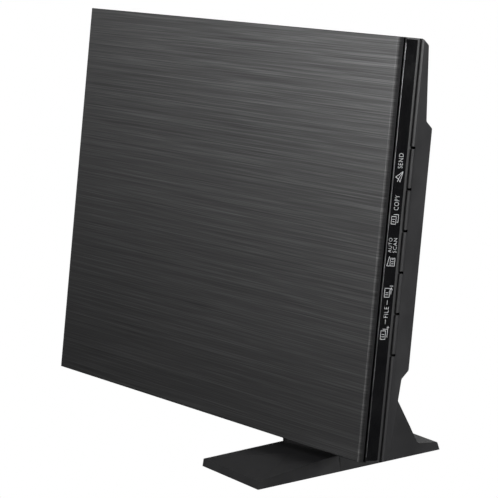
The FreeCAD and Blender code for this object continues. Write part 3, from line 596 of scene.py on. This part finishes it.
def print_labels():
    ink = print_ink()
    add, finish, scan, copy, send = (button_rise(i) for i in range(5))
    icons = {
        "icon_add_page": (add + 0.6, [
            page(-2.5, -3.4, 3.4, 5.0),
            [(-1.6, -1.9), (0.1, -1.9)],
            [(-1.6, -0.6), (0.1, -0.6)],
            [(-1.2, 2.6), (2.2, 2.6), (2.2, -2.2)],
            [(1.6, 3.6), (3.0, 3.6)],
            [(2.3, 2.9), (2.3, 4.3)]]),
        "icon_finish": (finish + 1.0, [
            page(-2.5, -3.4, 3.6, 5.2),
            [(-1.6, -2.0), (0.2, -2.0)],
            [(-1.6, -0.8), (0.2, -0.8)],
            [(2.0, -1.6), (2.0, 2.2)],
            [(1.1, 0.9), (2.0, 2.3), (2.9, 0.9)],
            [(0.9, 3.2), (3.1, 3.2)]]),
        "icon_scan": (scan - 5.6, [
            page(-0.6, -2.9, 3.2, 4.6),
            [(0.3, -1.6), (1.7, -1.6)],
            [(0.3, -0.4), (1.7, -0.4)],
            [(0.3, 0.8), (1.7, 0.8)],
            [(-2.8, -2.9), (-1.4, 2.6)],
            [(-2.8, -2.9), (-1.2, -2.9)]]),
        "icon_copy": (copy - 5.4, [
            page(-2.6, -3.0, 3.2, 4.4),
            [(-1.2, 2.6), (2.2, 2.6), (2.2, -1.8), (1.2, -1.8)],
            [(-1.8, -1.6), (-0.3, -1.6)],
            [(-1.8, -0.2), (-0.3, -0.2)]]),
        "icon_send": (send - 5.2, [
            [(-2.6, -0.2), (2.4, 3.2), (0.9, -3.0), (-0.4, -1.2), (-2.6, -0.2)],
            [(-0.4, -1.2), (2.4, 3.2)],
            [(-0.4, -1.2), (-1.0, -2.8)]]),
        "dash_low": (add + 7.6, [[(0, -1.2), (0, 1.2)]]),
        "dash_high": (finish - 5.6, [[(0, -1.2), (0, 1.2)]])}
    for name, (middle, lines) in icons.items():
        ribbon_piece(name, lines, middle, ink)
    # name, word, cap height, length, place across the strip, place up the strip
    words = [
        ("word_send", "SEND", 3.3, 8.8, 0.0, send + 4.2),
        ("word_copy", "COPY", 3.3, 8.8, 0.0, copy + 4.2),
        ("word_auto", "AUTO", 2.5, 8.6, -1.75, scan + 3.6),
        ("word_scan", "SCAN", 2.5, 8.6, 1.75, scan + 3.6),
        ("word_file", "FILE", 3.0, 6.4, 0.0, (add + finish) / 2 + 0.9)]
    for name, word, tall, long, across, up in words:
        word_piece(name, word, tall, long, across, up, ink)


print_labels()


# ------------------------------------------------------------------ rolled edge of the label strip
BEAD_R = 0.33
BEAD_PROUD = 0.05
BEAD_DEPTH = 4.9 - 0.15
BEAD_END_GAP = 3.2
BEAD_START_DEG = -90
BEAD_SWEEP_DEG = 110


def strip_bead():
    """The rounded edge of the glossy strip, where it stands beside the gap under the lid."""
    mesh = bmesh.new()
    steps = 10
    spans = 40
    middle = LENGTH - BEAD_R + BEAD_PROUD
    rings = []
    for j in range(spans + 1):
        rise = BEAD_END_GAP + (WIDTH - 2 * BEAD_END_GAP) * j / spans
        ring = []
        for i in range(steps + 1):
            turn = math.radians(BEAD_START_DEG + BEAD_SWEEP_DEG * i / steps)
            ring.append(mesh.verts.new(at(middle + BEAD_R * math.cos(turn),
                                          BEAD_DEPTH + BEAD_R * math.sin(turn), rise)))
        rings.append(ring)
    for low, high in zip(rings[:-1], rings[1:]):
        for i in range(steps):
            mesh.faces.new((low[i], low[i + 1], high[i + 1], high[i])).smooth = True
    bmesh.ops.recalc_face_normals(mesh, faces=mesh.faces)
    bead = new_piece("strip_bead", mesh, polished_edge())
    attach(bead, "scanner")


strip_bead()


# ------------------------------------------------------------------ foam under the white sheet
PAD_X = (45.6, 338.4)
PAD_Y = (2.16, 4.68)
PAD_Z = (18.6, 231.4)
PAD_ROUND = 3.0
PAD_EDGE = 1.3
PAD_EDGE_START = 0.05
CORNER_PULL = 0.006
DIMPLE = 0.06
DIMPLE_WAVES = (0.11, 0.13)
PAD_COLUMNS = 60
PAD_ROWS = 44


def pad_point(i, j, side):
    """A point of the pad's grid on its near (-1) or far (+1) face, closer set near the edges."""
    mid_x = sum(PAD_X) / 2
    mid_z = sum(PAD_Z) / 2
    half_x = (PAD_X[1] - PAD_X[0]) / 2
    half_z = (PAD_Z[1] - PAD_Z[0]) / 2
    thick = PAD_Y[1] - PAD_Y[0]
    x = mid_x + half_x * math.sin(math.pi / 2 * (2 * i / PAD_COLUMNS - 1))
    z = mid_z + half_z * math.sin(math.pi / 2 * (2 * j / PAD_ROWS - 1))
    inside = min(half_x - abs(x - mid_x), half_z - abs(z - mid_z))
    swell = math.sqrt(min(1.0, inside / PAD_EDGE + PAD_EDGE_START))
    corner = max(0.0, abs(x - mid_x) - half_x + PAD_ROUND) / PAD_ROUND
    corner *= max(0.0, abs(z - mid_z) - half_z + PAD_ROUND) / PAD_ROUND
    x = mid_x + (x - mid_x) * (1 - CORNER_PULL * corner)
    z = mid_z + (z - mid_z) * (1 - CORNER_PULL * corner)
    wave = math.sin(x * DIMPLE_WAVES[0]) * math.sin(z * DIMPLE_WAVES[1])
    dimple = DIMPLE * (wave + 1) * side
    y = PAD_Y[0] + thick * (0.5 + 0.5 * side * swell) - dimple * 0.5
    return at(x, min(max(y, PAD_Y[0]), PAD_Y[1]), z)


def foam_pad():
    """A soft sheet of foam with rounded edges and shallow dimples where the glue holds it."""
    mesh = bmesh.new()
    grids = {}
    for side in (-1, 1):
        grid = [[mesh.verts.new(pad_point(i, j, side)) for j in range(PAD_ROWS + 1)]
                for i in range(PAD_COLUMNS + 1)]
        grids[side] = grid
        for i in range(PAD_COLUMNS):
            for j in range(PAD_ROWS):
                ring = [grid[i][j], grid[i + 1][j], grid[i + 1][j + 1], grid[i][j + 1]]
                mesh.faces.new(ring if side < 0 else list(reversed(ring)))
    rim = [(i, 0) for i in range(PAD_COLUMNS)]
    rim += [(PAD_COLUMNS, j) for j in range(PAD_ROWS)]
    rim += [(i, PAD_ROWS) for i in range(PAD_COLUMNS, 0, -1)]
    rim += [(0, j) for j in range(PAD_ROWS, 0, -1)]
    near = grids[-1]
    far = grids[1]
    for (i, j), (k, m) in zip(rim, rim[1:] + rim[:1]):
        mesh.faces.new((near[i][j], far[i][j], far[k][m], near[k][m]))
    bmesh.ops.recalc_face_normals(mesh, faces=mesh.faces)
    pad = new_piece("foam_pad", mesh, foam())
    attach(pad, "lid")
    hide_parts("document_pad")


foam_pad()


# ------------------------------------------------------------------ floor
FLOOR_HALF = 6.0


def floor_paper():
    """Pale matt paper to the lights, and plain white to the camera."""
    paint = Painter("floor_paper", (0.9, 0.9, 0.9), 0.9)
    paint.set("Specular IOR Level", 0.0)
    cloud = paint.noise(paint.object_space(), 3.0, 2.0)
    paint.into(paint.ramp(cloud, [(0.3, (0.89, 0.89, 0.89)), (0.7, (0.91, 0.91, 0.91))]),
               "Base Color")
    sheet = paint.add("ShaderNodeEmission")
    sheet.inputs["Color"].default_value = WHITE
    mix = paint.add("ShaderNodeMixShader")
    path = paint.add("ShaderNodeLightPath")
    out = paint.tree.nodes["Material Output"]
    paint.link(path.outputs["Is Camera Ray"], mix.inputs["Fac"])
    paint.link(paint.shader.outputs["BSDF"], mix.inputs[1])
    paint.link(sheet.outputs["Emission"], mix.inputs[2])
    paint.link(mix.outputs["Shader"], out.inputs["Surface"])
    return paint.material


def make_floor():
    mesh = bmesh.new()
    bmesh.ops.create_grid(mesh, x_segments=8, y_segments=8, size=FLOOR_HALF)
    floor = new_piece("floor", mesh, floor_paper())
    floor.visible_glossy = False


make_floor()
